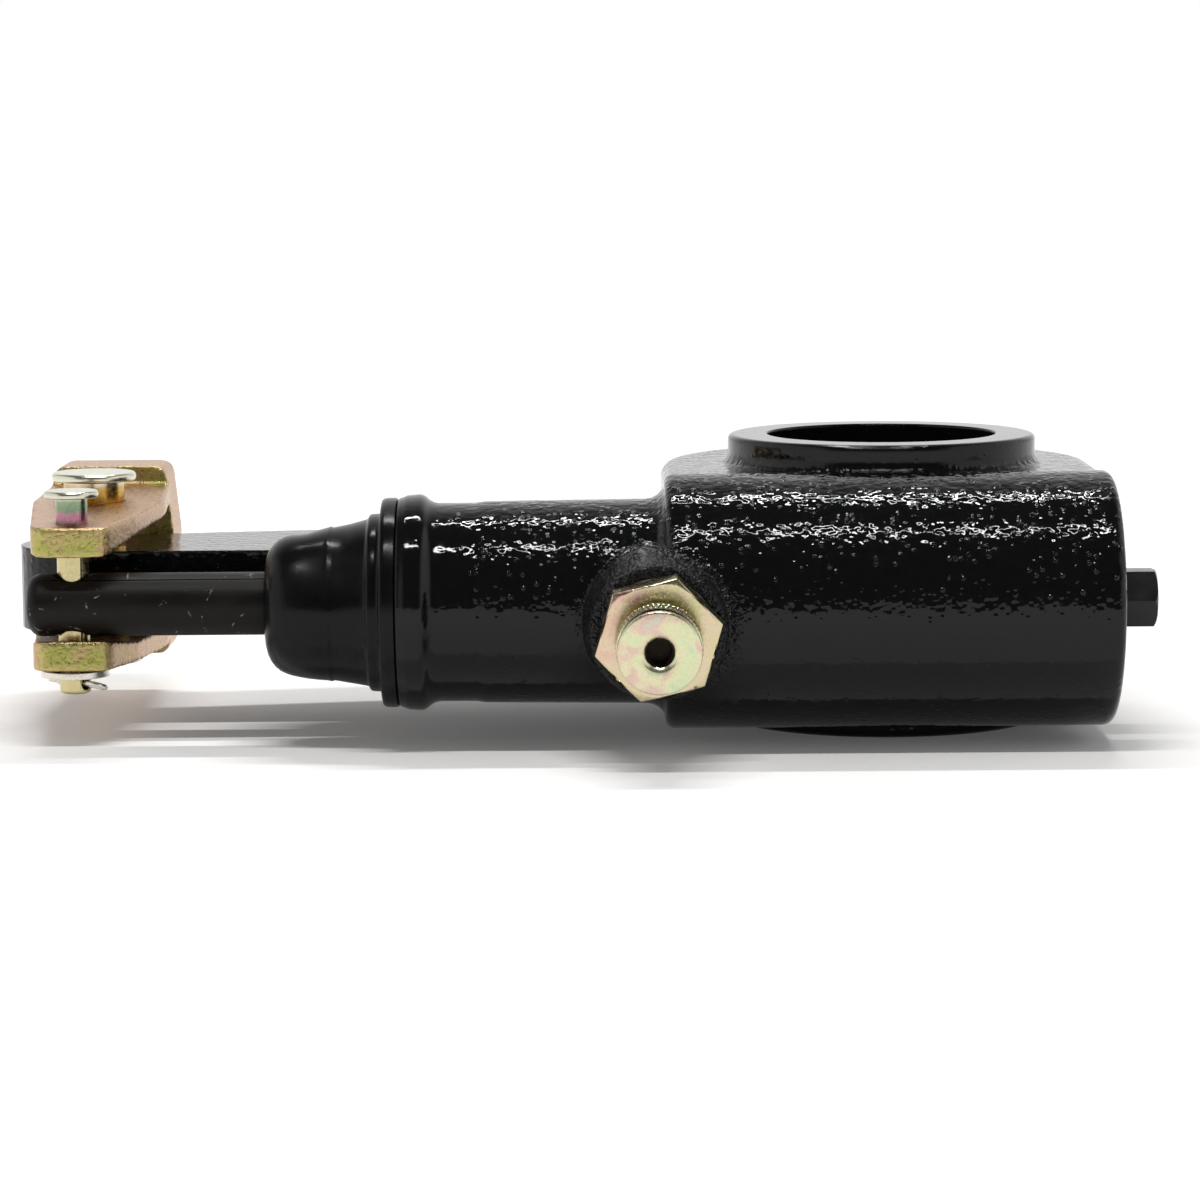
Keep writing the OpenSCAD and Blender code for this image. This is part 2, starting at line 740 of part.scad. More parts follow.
// knob on the pawl stem, with the hole for the puller screw
module pawl_knob() {
  top = knob_bottom + knob_l;
  color("#d2b35a")
    on_pawl_axis()
      rotate_extrude()
        polygon([[0, stem_top], [pawl_stem_r, stem_top],
          [pawl_stem_r, knob_bottom - knob_gap + 1.5], [pawl_stem_r + 1.6, knob_bottom - knob_gap + 1.5],
          [pawl_stem_r + 1.6, knob_bottom], [knob_r - 0.5, knob_bottom],
          [knob_r, knob_bottom + 0.4], [knob_r, knob_bottom + 2.1], [knob_r - 0.6, knob_bottom + 2.5],
          [knob_r - 0.6, top - 1.4], [knob_r - 0.2, top - 1], [knob_r - 0.2, top - 0.4], [knob_r - 0.6, top],
          [puller_r + 0.55, top], [puller_r, top - 0.6], [puller_r, stem_top + 0.5], [0, stem_top + 0.5]]);
}

// outline of an ear, seen from above, from the large pin
function ear_outline() =
  let (half = clevis_w / 2)
  rounded([[-7.3, -ear_front], [7.8, -ear_front], [half - 2, pad_l - ear_front], [half + 0.7, 4],
    [half - 1, base_front + 6], [-half + 1, base_front + 6], [-half + 0.7, 0]], 4);

module ear() {
  translate([0, -ear_front, ear_gap + pad_rise])
    rotate([ear_spread, 0, 0])
      translate([0, ear_front, 0]) {
        linear_extrude(ear_thick)
          polygon(ear_outline());
        intersection() {
          translate([0, 0, -pad_rise - eps])
            linear_extrude(pad_rise + 2 * eps)
              polygon(ear_outline());
          rotate([90, 0, 90])
            translate([0, 0, -clevis_w])
              linear_extrude(2 * clevis_w)
                polygon([[-ear_front - 1, -pad_rise], [-ear_front, -pad_rise], [pad_l - ear_front, 0],
                  [pad_l - ear_front, eps], [-ear_front - 1, eps]]);
        }
      }
}

// clevis: two spread ears and the taller base with the push rod thread
module clevis() {
  half = clevis_w / 2;
  color("#cfae5c")
    at_large_pin()
      difference() {
        union() {
          ear();
          mirror([0, 0, 1])
            ear();
          translate([0, base_back, 0])
            rotate([90, 0, 0])
              linear_extrude(base_back - base_front)
                polygon(rounded([[-half + 1.6, -base_half], [half - 1.6, -base_half], [half, -6], [half, 6],
                  [half - 1.6, base_half], [-half + 1.6, base_half], [-half, 6], [-half, -6]], 2.5));
        }
        translate([0, 0, -through])
          cylinder(h = 2 * through, r = large_pin_r + fit);
        translate([0, pin_y, -through])
          cylinder(h = 2 * through, r = small_pin_r + fit);
        translate([0, base_front - 1, 0])
          rotate([-90, 0, 0])
            cylinder(h = base_back, r = push_rod_r);
      }
}

// large pin, held in the ears and turning in the arm bushing
module large_pin() {
  under = ear_out(0) + large_rise;
  bottom = -ear_out(0) - 3.2;
  color("#c4c2b8")
    at_large_pin()
      rotate_extrude()
        polygon([[0, bottom], [large_pin_r - 1, bottom], [large_pin_r, bottom + 0.8],
          [large_pin_r, -ear_out(0) - 0.9 - clip_w], [large_pin_r - 0.7, -ear_out(0) - 0.9 - clip_w],
          [large_pin_r - 0.7, -ear_out(0) - 0.9], [large_pin_r, -ear_out(0) - 0.9],
          [large_pin_r, under], [large_head_r - 0.3, under], [large_head_r, under + 0.3],
          [large_head_r, under + large_head_w - 0.5], [large_head_r - 0.5, under + large_head_w],
          [0, under + large_head_w]]);
}

// clip in the groove of the large pin
module large_pin_clip() {
  color("#c8c8c6")
    at_large_pin()
      translate([0, 0, -ear_out(0) - 0.9 - clip_w])
        difference() {
          tube(large_pin_r + 3, large_pin_r - 0.7, 0, clip_w);
          rotate([0, 0, 60])
            translate([0, -3, -eps])
              cube([large_pin_r * 2, 6, clip_w + 2 * eps]);
        }
}

// small pin through both ears and the rod
module small_pin() {
  under = ear_out(pin_y) + pin_rise;
  bottom = -ear_out(pin_y) - small_drop;
  color("#c4b98c")
    at_small_pin()
      difference() {
        rotate_extrude()
          polygon([[0, bottom], [small_pin_r - 0.6, bottom], [small_pin_r, bottom + 0.6],
            [small_pin_r, under], [small_head_r - 0.3, under], [small_head_r, under + 0.3],
            [small_head_r, under + small_head_w - 0.4], [small_head_r - 0.4, under + small_head_w],
            [0, under + small_head_w]]);
        translate([0, 0, bottom + cotter_up])
          rotate([0, 0, cotter_turn])
            rotate([0, 90, 0])
              cylinder(h = 20, r = cotter_wire_r * 2, center = true);
      }
}

module small_pin_washer() {
  color("#d0d0ce")
    at_small_pin()
      translate([0, 0, -ear_out(pin_y) - play])
        tube(small_washer_r, small_pin_r + fit, -small_washer_w, 0);
}

// cotter pin: ring on the near side, two legs through the pin, spread behind it
module small_pin_cotter() {
  bottom = -ear_out(pin_y) - small_drop;
  eye = 1.7;
  color("#c8c8c6")
    at_small_pin()
      translate([0, 0, bottom + cotter_up])
        rotate([cotter_roll, 0, cotter_turn]) {
          for (s = [-1, 1])
            translate([-small_pin_r - 3, 0, s * cotter_wire_r])
              rotate([0, 90, 0])
                cylinder(h = 2 * small_pin_r + 4, r = cotter_wire_r - 0.03, $fn = 24);
          translate([small_pin_r + 0.9 + eye, 0, 0])
            rotate([90, 0, 0])
              rotate_extrude($fn = 32)
                translate([eye, 0])
                  circle(cotter_wire_r, $fn = 16);
        }
}

housing();
arm_bushing();
grease_fitting();
cam_gear();
gear_bearing_ring();
gear_retaining_ring();
gear_seal_upper();
gear_seal_lower();
worm_shaft();
worm_thrust_washer();
worm_collar();
worm_seal();
actuator_piston();
piston_retaining_ring();
actuator_rod();
boot();
pawl_cap();
pawl_gasket();
pawl();
pawl_spring();
pawl_knob();
clevis();
large_pin();
large_pin_clip();
small_pin();
small_pin_washer();
small_pin_cotter();
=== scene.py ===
import bpy
import bmesh
import math
from mathutils import Matrix, Quaternion, Vector


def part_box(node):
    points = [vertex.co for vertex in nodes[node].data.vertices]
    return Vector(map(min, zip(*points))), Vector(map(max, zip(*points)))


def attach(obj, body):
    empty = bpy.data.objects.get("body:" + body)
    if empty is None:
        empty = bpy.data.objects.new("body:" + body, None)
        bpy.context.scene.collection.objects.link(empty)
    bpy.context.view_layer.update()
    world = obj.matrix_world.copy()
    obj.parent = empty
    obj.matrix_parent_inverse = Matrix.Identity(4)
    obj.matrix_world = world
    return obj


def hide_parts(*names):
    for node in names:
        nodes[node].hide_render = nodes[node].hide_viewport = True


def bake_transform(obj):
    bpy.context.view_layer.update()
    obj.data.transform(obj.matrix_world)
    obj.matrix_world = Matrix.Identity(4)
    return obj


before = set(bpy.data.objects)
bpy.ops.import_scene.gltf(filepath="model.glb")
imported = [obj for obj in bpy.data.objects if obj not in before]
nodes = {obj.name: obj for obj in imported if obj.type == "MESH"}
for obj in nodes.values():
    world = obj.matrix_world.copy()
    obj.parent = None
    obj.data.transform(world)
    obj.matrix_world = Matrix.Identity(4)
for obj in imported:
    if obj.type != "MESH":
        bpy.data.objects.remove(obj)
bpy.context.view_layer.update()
scene = bpy.context.scene
mm = 0.001
scene.view_settings.view_transform = "Standard"
print("frame loaded,", len(nodes), "CAD nodes")

# the axes that the part is built on, as in its source
wormAxis = Vector((0, -34.9, 0)) * mm
pawlTilt = math.radians(6)
pawlOut = Vector((0, -math.cos(pawlTilt), -math.sin(pawlTilt)))
pawlFoot = Vector((-47.8, -34.9, 0)) * mm

# nearly all values of a noise texture lie between these
noiseLow, noiseHigh = 0.3, 0.7


def linear(hexCode):
    parts = []
    for i in (0, 2, 4):
        c = int(hexCode[i:i + 2], 16) / 255
        parts.append(c / 12.92 if c <= 0.04045 else ((c + 0.055) / 1.055) ** 2.4)
    return (*parts, 1.0)


def addNode(tree, kind, values=None, links=None, **settings):
    node = tree.nodes.new(kind)
    for key, value in settings.items():
        setattr(node, key, value)
    for key, value in (values or {}).items():
        node.inputs[key].default_value = value
    for key, (source, socket) in (links or {}).items():
        tree.links.new(source.outputs[socket], node.inputs[key])
    return node


def startMaterial(name):
    mat = bpy.data.materials.new(name)
    mat.use_nodes = True
    tree = mat.node_tree
    tree.nodes.clear()
    shader = addNode(tree, "ShaderNodeBsdfPrincipled")
    addNode(tree, "ShaderNodeOutputMaterial", links={"Surface": (shader, "BSDF")})
    place = addNode(tree, "ShaderNodeTexCoord")
    return mat, tree, shader, place


def setStops(ramp, stops):
    stops = list(stops)
    elements = ramp.color_ramp.elements
    while len(elements) < len(stops):
        elements.new(0.5)
    for element, (where, colour) in zip(elements, stops):
        element.position = where
        element.color = linear(colour)


# studio: lengths in mm, angles in degrees
studio = {
    "lookAt": (-59.1, 0.0, -4.23), "distance": 800.0, "pitch": 7.2, "roll": -0.4,
    "lens": 113.9, "sensor": 36.0, "clip": (10.0, 50000.0),
    # strip boxes overhead: lean to the camera and watts of each
    "strips": [("rearStrip", -17.0, 3.6), ("frontStrip", 22.0, 3.6)],
    "stripSize": (560.0, 26.0), "stripAway": 900.0,
    # room: strength of each side, and the share of a direction at which a side begins and is full
    "skyFront": 0.12, "skyBack": 1.0, "backAt": (0.3, 0.95), "skySide": 1.0, "wallsAt": (0.55, 0.8),
    "floorDrop": 28.52, "floorSize": 12000.0, "floorTints": ("faf9f8", "fbfaf9"), "fibre": 40.0,
    # the sweep glows away from the part, where the strips no longer reach: distances and strengths
    "glowAt": (100.0, 1300.0), "glow": (0.06, 0.66),
}


def buildCamera():
    pitch = math.radians(studio["pitch"])
    back = Vector((0, -math.cos(pitch), math.sin(pitch)))
    roll = Quaternion((0, 0, 1), math.radians(studio["roll"]))
    camera = bpy.data.objects.new("camera", bpy.data.cameras.new("camera"))
    scene.collection.objects.link(camera)
    camera.location = (Vector(studio["lookAt"]) + back * studio["distance"]) * mm
    camera.rotation_mode = "QUATERNION"
    camera.rotation_quaternion = (-back).to_track_quat("-Z", "Y") @ roll
    camera.data.sensor_width = studio["sensor"]
    camera.data.lens = studio["lens"]
    camera.data.clip_start = studio["clip"][0] * mm
    camera.data.clip_end = studio["clip"][1] * mm
    scene.camera = camera


def buildStrips():
    # two overhead strip boxes, as the pairs of highlights on barrel and boot show
    for name, lean, watts in studio["strips"]:
        lamp = bpy.data.objects.new(name, bpy.data.lights.new(name, "AREA"))
        lamp.data.shape = "RECTANGLE"
        lamp.data.size = studio["stripSize"][0] * mm
        lamp.data.size_y = studio["stripSize"][1] * mm
        lamp.data.energy = watts
        tilt = math.radians(lean)
        away = Vector((0, -math.sin(tilt), math.cos(tilt)))
        lamp.location = (Vector(studio["lookAt"]) + away * studio["stripAway"]) * mm
        lamp.rotation_mode = "QUATERNION"
        lamp.rotation_quaternion = (-away).to_track_quat("-Z", "Y")
        scene.collection.objects.link(lamp)


def buildRoom():
    # a white backdrop behind the part, white walls at both ends, dim on the camera's side
    world = bpy.data.worlds.new("studioRoom")
    scene.world = world
    world.use_nodes = True
    tree = world.node_tree
    tree.nodes.clear()
    place = addNode(tree, "ShaderNodeTexCoord")
    split = addNode(tree, "ShaderNodeSeparateXYZ", links={"Vector": (place, "Generated")})
    backFrom, backFull = studio["backAt"]
    depth = addNode(tree, "ShaderNodeMapRange",
                    {"From Min": backFrom, "From Max": backFull,
                     "To Min": studio["skyFront"], "To Max": studio["skyBack"]},
                    {"Value": (split, "Y")}, interpolation_type="SMOOTHSTEP")
    across = addNode(tree, "ShaderNodeMath", links={0: (split, "X")}, operation="ABSOLUTE")
    wallsFrom, wallsFull = studio["wallsAt"]
    walls = addNode(tree, "ShaderNodeMapRange",
                    {"From Min": wallsFrom, "From Max": wallsFull, "To Max": studio["skySide"]},
                    {"Value": (across, "Value")}, interpolation_type="SMOOTHSTEP")
    room = addNode(tree, "ShaderNodeMath", links={0: (depth, "Result"), 1: (walls, "Result")},
                   operation="MAXIMUM")
    sky = addNode(tree, "ShaderNodeBackground", {"Color": (1, 1, 1, 1)}, {"Strength": (room, "Value")})
    addNode(tree, "ShaderNodeOutputWorld", links={"Surface": (sky, "Background")})


def buildFloor():
    # matt white paper: even and without gloss
    level = -studio["floorDrop"] * mm
    bpy.ops.mesh.primitive_plane_add(size=studio["floorSize"] * mm, location=(0, 0, level))
    floor = bpy.context.object
    floor.name = "paleFloor"
    mat, tree, shader, place = startMaterial("matt white paper sweep")
    shader.inputs["Roughness"].default_value = 1.0
    shader.inputs["Specular IOR Level"].default_value = 0.0
    shader.inputs["Emission Color"].default_value = (1, 1, 1, 1)
    fibre = addNode(tree, "ShaderNodeTexNoise", {"Scale": 1 / (studio["fibre"] * mm)},
                    {"Vector": (place, "Object")})
    tone = addNode(tree, "ShaderNodeValToRGB", links={"Fac": (fibre, "Fac")})
    setStops(tone, zip((noiseLow, noiseHigh), studio["floorTints"]))
    tree.links.new(tone.outputs["Color"], shader.inputs["Base Color"])
    far = addNode(tree, "ShaderNodeVectorMath", links={0: (place, "Object")}, operation="LENGTH")
    (glowFrom, glowTo), (faint, full) = studio["glowAt"], studio["glow"]
    glow = addNode(tree, "ShaderNodeMapRange",
                   {"From Min": glowFrom * mm, "From Max": glowTo * mm, "To Min": faint, "To Max": full},
                   {"Value": (far, "Value")})
    # the glow shows to the camera and in reflections, and lights nothing else
    rays = addNode(tree, "ShaderNodeLightPath")
    direct = addNode(tree, "ShaderNodeMath", links={0: (rays, "Is Camera Ray"), 1: (rays, "Is Glossy Ray")},
                     operation="MAXIMUM")
    seen = addNode(tree, "ShaderNodeMath", links={0: (direct, "Value"), 1: (rays, "Is Transmission Ray")},
                   operation="MAXIMUM")
    shown = addNode(tree, "ShaderNodeMath", links={0: (glow, "Result"), 1: (seen, "Value")},
                    operation="MULTIPLY")
    tree.links.new(shown.outputs["Value"], shader.inputs["Emission Strength"])
    floor.data.materials.append(mat)


buildCamera()
buildStrips()
buildRoom()
buildFloor()
print("studio ready")


# paint of the casting: lengths in mm
castPaint = {
    "black": "080809", "worn": "0b0b0c", "tones": (0.35, 0.7), "ior": 1.335,
    "roughness": 0.045, "smoother": 0.03, "rougher": 0.05,
    # sand grains: distance apart, foot and top of one as shares of it, share of places left empty, tallest
    "grain": 1.3, "dome": (0.5, 0.05), "empty": 0.5, "tallest": 0.95,
    # waves of the skin and their share of the height, the whole height, radius of painted edges
    "peel": 1.85, "peelShare": 0.9, "height": 0.29, "soften": 0.8,
    # where the grain thins out: axis, from, to, share before and after, how it changes
    "fades": {
        "ring": ("Z", 25.9, 26.8, 1.0, 0.15, "LINEAR"),  # turned ring
        "mouth": ("X", -93, -81, 0.12, 1.0, "LINEAR"),  # machined mouth of the barrel
        "arm": ("Y", -16.5, -15.6, 0.0, 0.45, "LINEAR"),  # arm beside the mouth, as cast
        "parting": ("Z", -3, 4, 0.25, 1.0, "SMOOTHSTEP"),  # smoother below the mould's parting line
    },
    # blasted boss of the pawl: middle of its face, reach with full and no effect, shot marks, their depth
    "bossFace": 26, "blastAt": (14, 19), "shot": 0.9, "pock": 0.9, "blastMatt": 0.03,
}


def castPaintFinish():
    # gloss black enamel over sand-cast ductile iron: wet black skin with single sand grains as sparks
    spec = castPaint
    mat, tree, shader, place = startMaterial("black enamel on sand cast iron")
    shader.inputs["IOR"].default_value = spec["ior"]
    here = {"Vector": (place, "Object")}
    grains = addNode(tree, "ShaderNodeTexVoronoi", {"Scale": 1 / (spec["grain"] * mm)}, here)
    foot, top = spec["dome"]
    dome = addNode(tree, "ShaderNodeMapRange", {"From Min": foot, "From Max": top},
                   {"Value": (grains, "Distance")}, interpolation_type="SMOOTHSTEP")
    pick = addNode(tree, "ShaderNodeSeparateColor", links={"Color": (grains, "Color")})
    size = addNode(tree, "ShaderNodeMapRange", {"From Min": spec["empty"], "To Max": spec["tallest"]},
                   {"Value": (pick, "Red")})
    single = addNode(tree, "ShaderNodeMath", links={0: (dome, "Result"), 1: (size, "Result")},
                     operation="MULTIPLY")
    peel = addNode(tree, "ShaderNodeTexNoise",
                   {"Scale": 1 / (spec["peel"] * mm), "Detail": 1.0, "Roughness": 0.45}, here)
    skin = addNode(tree, "ShaderNodeMath", {1: spec["peelShare"]}, {0: (peel, "Fac"), 2: (single, "Value")},
                   operation="MULTIPLY_ADD")

    # the grain is thick on the hub and thins out elsewhere
    split = addNode(tree, "ShaderNodeSeparateXYZ", links=here)
    fades = {}
    for name, (axis, low, high, before, after, ease) in spec["fades"].items():
        limits = {"From Min": low * mm, "From Max": high * mm, "To Min": before, "To Max": after}
        fades[name] = addNode(tree, "ShaderNodeMapRange", limits, {"Value": (split, axis)},
                              interpolation_type=ease)
    bare = addNode(tree, "ShaderNodeMath", operation="MAXIMUM",
                   links={0: (fades["mouth"], "Result"), 1: (fades["arm"], "Result")})
    sand = addNode(tree, "ShaderNodeMath", links={0: (fades["ring"], "Result"), 1: (bare, "Value")},
                   operation="MULTIPLY")
    rough = addNode(tree, "ShaderNodeMath", links={0: (sand, "Value"), 1: (fades["parting"], "Result")},
                    operation="MULTIPLY")

    # the boss of the pawl is blasted: matt and speckled
    bossWay = addNode(tree, "ShaderNodeVectorMath", {1: pawlFoot + pawlOut * spec["bossFace"] * mm},
                      {0: (place, "Object")}, operation="DISTANCE")
    blastFull, blastEnd = spec["blastAt"]
    blast = addNode(tree, "ShaderNodeMapRange",
                    {"From Min": blastFull * mm, "From Max": blastEnd * mm, "To Min": 1.0, "To Max": 0.0},
                    {"Value": (bossWay, "Value")}, interpolation_type="SMOOTHSTEP")
    shot = addNode(tree, "ShaderNodeTexNoise",
                   {"Scale": 1 / (spec["shot"] * mm), "Detail": 1.0, "Roughness": 0.6}, here)

    # paint rounds off the few edges that the casting leaves sharp
    soft = addNode(tree, "ShaderNodeBevel", {"Radius": spec["soften"] * mm}, samples=6)
    pocks = addNode(tree, "ShaderNodeBump", {"Distance": spec["pock"] * mm},
                    {"Height": (shot, "Fac"), "Strength": (blast, "Result"), "Normal": (soft, "Normal")})
    bump = addNode(tree, "ShaderNodeBump", {"Distance": spec["height"] * mm},
                   {"Height": (skin, "Value"), "Strength": (rough, "Value"), "Normal": (pocks, "Normal")})
    tree.links.new(bump.outputs["Normal"], shader.inputs["Normal"])

    tone = addNode(tree, "ShaderNodeValToRGB", links={"Fac": (peel, "Fac")})
    setStops(tone, zip(spec["tones"], (spec["black"], spec["worn"])))
    tree.links.new(tone.outputs["Color"], shader.inputs["Base Color"])
    shine = addNode(tree, "ShaderNodeMapRange",
                    {"From Min": noiseLow, "From Max": noiseHigh,
                     "To Min": spec["roughness"] - spec["smoother"],
                     "To Max": spec["roughness"] + spec["rougher"]},
                    {"Value": (peel, "Fac")})
    matt = addNode(tree, "ShaderNodeMath", {1: spec["blastMatt"]},
                   {0: (blast, "Result"), 2: (shine, "Result")}, operation="MULTIPLY_ADD")
    tree.links.new(matt.outputs["Value"], shader.inputs["Roughness"])
    return mat


# satin blacks: grain in mm
satins = {
    "bootRubber": {"name": "moulded boot rubber", "black": "0b0b0c", "bloom": "161617",
                   "roughness": 0.2, "grain": 0.8, "ior": 1.25},
    "sealRubber": {"name": "moulded seal rubber", "black": "141414", "bloom": "1f1f20",
                   "roughness": 0.5, "grain": 0.6, "ior": 1.4},
    "hexPaint": {"name": "black enamel on hex steel", "black": "0a0a0b", "bloom": "121213",
                 "roughness": 0.2, "grain": 1.1, "ior": 1.4},
}
# what they share: patches of bloom in mm, where the tones stand, change of roughness, bump, its depth in mm
satinTouch = {
    "patch": 9, "tones": (0.35, 0.75), "smoother": 0.05, "rougher": 0.1, "bump": 0.25, "relief": 0.05,
}


def satinFinish(name, black, bloom, roughness, grain, ior):
    # moulded rubber or thin enamel: satin, nearly black, with a slightly greyer bloom in patches
    touch = satinTouch
    mat, tree, shader, place = startMaterial(name)
    shader.inputs["IOR"].default_value = ior
    here = {"Vector": (place, "Object")}
    patches = addNode(tree, "ShaderNodeTexNoise", {"Scale": 1 / (touch["patch"] * mm), "Detail": 4.0}, here)
    fine = addNode(tree, "ShaderNodeTexNoise", {"Scale": 1 / (grain * mm)}, here)
    tone = addNode(tree, "ShaderNodeValToRGB", links={"Fac": (patches, "Fac")})
    setStops(tone, zip(touch["tones"], (black, bloom)))
    tree.links.new(tone.outputs["Color"], shader.inputs["Base Color"])
    satin = addNode(tree, "ShaderNodeMapRange",
                    {"From Min": noiseLow, "From Max": noiseHigh,
                     "To Min": roughness - touch["smoother"], "To Max": roughness + touch["rougher"]},
                    {"Value": (patches, "Fac")})
    tree.links.new(satin.outputs["Result"], shader.inputs["Roughness"])
    bump = addNode(tree, "ShaderNodeBump", {"Strength": touch["bump"], "Distance": touch["relief"] * mm},
                   {"Height": (fine, "Fac")})
    tree.links.new(bump.outputs["Normal"], shader.inputs["Normal"])
    return mat


# coat of the rod: lengths in mm
phosphate = {
    "dark": "12110f", "brown": "1e1b18", "tones": (0.35, 0.72), "scratch": "8a857f", "specular": 0.15,
    "roughness": 0.44, "smoother": 0.08, "rougher": 0.1,
    # clouds and how they are drawn out along the rod; crystals, their bump and its depth
    "cloud": 5, "stretch": (0.35, 1.0, 1.0), "crystal": 0.5, "bump": 0.3, "relief": 0.06,
    # scratches are hair-thin on the rod and about three times as wide here, so that they show:
    # distance apart, width from full to none as shares of it, patches of them, noise from none to full
    "hair": 7, "hairEdge": (0.008, 0.024), "patch": 2.6, "patchEdge": (0.57, 0.66),
}


def phosphateFinish():
    # manganese phosphate on a drawn steel rod: dull, dark brown-grey crystals with pale handling scratches
    spec = phosphate
    mat, tree, shader, place = startMaterial("phosphated drawn steel")
    shader.inputs["Specular IOR Level"].default_value = spec["specular"]
    here = {"Vector": (place, "Object")}
    stretched = addNode(tree, "ShaderNodeMapping", {"Scale": spec["stretch"]}, here)
    clouds = addNode(tree, "ShaderNodeTexNoise",
                     {"Scale": 1 / (spec["cloud"] * mm), "Detail": 5.0, "Roughness": 0.6},
                     {"Vector": (stretched, "Vector")})
    tone = addNode(tree, "ShaderNodeValToRGB", links={"Fac": (clouds, "Fac")})
    setStops(tone, zip(spec["tones"], (spec["dark"], spec["brown"])))

    hairs = addNode(tree, "ShaderNodeTexVoronoi", {"Scale": 1 / (spec["hair"] * mm)}, here,
                    feature="DISTANCE_TO_EDGE")
    hairFull, hairEnd = spec["hairEdge"]
    thin = addNode(tree, "ShaderNodeMapRange",
                   {"From Min": hairFull, "From Max": hairEnd, "To Min": 1.0, "To Max": 0.0},
                   {"Value": (hairs, "Distance")})
    spots = addNode(tree, "ShaderNodeTexNoise",
                    {"Scale": 1 / (spec["patch"] * mm), "Detail": 3.0, "Roughness": 0.7}, here)
    patchFrom, patchFull = spec["patchEdge"]
    where = addNode(tree, "ShaderNodeMapRange", {"From Min": patchFrom, "From Max": patchFull},
                    {"Value": (spots, "Fac")})
    nick = addNode(tree, "ShaderNodeMath", links={0: (thin, "Result"), 1: (where, "Result")},
                   operation="MULTIPLY")
    paint = addNode(tree, "ShaderNodeMix", {"B": linear(spec["scratch"])},
                    {"A": (tone, "Color"), "Factor": (nick, "Value")}, data_type="RGBA")
    tree.links.new(paint.outputs["Result"], shader.inputs["Base Color"])

    crystal = addNode(tree, "ShaderNodeTexNoise", {"Scale": 1 / (spec["crystal"] * mm)}, here)
    bump = addNode(tree, "ShaderNodeBump", {"Strength": spec["bump"], "Distance": spec["relief"] * mm},
                   {"Height": (crystal, "Fac")})
    tree.links.new(bump.outputs["Normal"], shader.inputs["Normal"])
    dull = addNode(tree, "ShaderNodeMapRange",
                   {"From Min": noiseLow, "From Max": noiseHigh,
                    "To Min": spec["roughness"] - spec["smoother"],
                    "To Max": spec["roughness"] + spec["rougher"]},
                   {"Value": (clouds, "Fac")})
    tree.links.new(dull.outputs["Result"], shader.inputs["Roughness"])
    return mat


# plated and bare metals: tints along the film; patches of a tint, grain and depth of pits in mm;
# levels are the heights on the piece, in mm, between which the tints lie;
# turn shifts the tint on faces that don't look along y, a painted iridescent sheen in place of the film's
# change with the view, and soil is the share of tone lost in the pits
metals = {
    "clevisZinc": {
        "name": "yellow zinc on forged steel", "patch": 7, "roughness": 0.28,
        # turn is a painted iridescent sheen: tops and sides take the pinker end of the stops
        "grain": 0.9, "pits": 0.27, "turn": 0.5, "soil": 0.26,
        "stops": [(0.2, "a2a656"), (0.42, "b2ae62"), (0.6, "c2ac78"), (0.85, "c8a87c"), (1.0, "c8a080")]},
    "capZinc": {
        "name": "yellow zinc on turned hex steel", "patch": 10, "roughness": 0.2,
        "stops": [(0.28, "b6b480"), (0.42, "ccc49a"), (0.55, "d6c2a6"), (0.68, "d2ac9c"), (0.8, "bcb880")]},
    "knobZinc": {
        "name": "yellow zinc on turned knob steel", "patch": 5, "roughness": 0.24,
        "stops": [(0.26, "bccdae"), (0.4, "d0d6ac"), (0.52, "d8d2ae"), (0.64, "d6b8aa"), (0.76, "bcccbc")]},
    # dark steel: oil in the knob's thread, and painted shade in the groove behind its face
    "oilAndGrooveShade": {
        "name": "oily thread steel and painted groove shade", "patch": 3, "roughness": 0.4,
        "stops": [(0.3, "1a1714"), (0.7, "2c261f")]},
    "brightZinc": {
        "name": "bright zinc on steel", "patch": 5, "roughness": 0.24,
        "stops": [(0.3, "cfccc0"), (0.55, "d9d8d2"), (0.75, "d6cba8")]},
    "pinZinc": {
        "name": "iridescent zinc on pin steel", "patch": 4, "roughness": 0.2, "levels": (10, 24),
        "stops": [(0.3, "c6b98c"), (0.44, "d6caa4"), (0.49, "7f9a70"), (0.56, "aa7088"), (0.66, "ac7c88"),
                  (0.74, "7a9274"), (0.84, "90a080"), (0.9, "d4d2c0")]},
    "largePinZinc": {
        "name": "yellow zinc on pin steel", "patch": 6, "roughness": 0.2, "levels": (10, 24),
        "stops": [(0.3, "c89a4a"), (0.6, "b98a3c"), (0.82, "c9a056"), (0.9, "d9d6c2")]},
    "gearSteel": {
        "name": "hobbed gear steel", "patch": 6, "roughness": 0.34, "grain": 0.5,
        "stops": [(0.3, "6d6e71"), (0.7, "85868a")]},
    "springSteel": {
        "name": "oiled spring steel", "patch": 5, "roughness": 0.36, "grain": 0.5,
        "stops": [(0.3, "3a3b3d"), (0.7, "505154")]},
    "bronze": {
        "name": "sintered bronze", "patch": 3, "roughness": 0.42, "grain": 0.5,
        "stops": [(0.3, "7d5b30"), (0.7, "9a7440")]},
    "softAluminium": {
        "name": "soft aluminium", "patch": 4, "roughness": 0.45, "grain": 0.7,
        "stops": [(0.3, "8f8b82"), (0.7, "a8a49a")]},
}
# what they share: how far patches disturb the levels, grain that holds soil, change of roughness
metalTouch = {"disturb": 0.12, "pores": (0.36, 0.54), "smoother": 0.06, "rougher": 0.1}


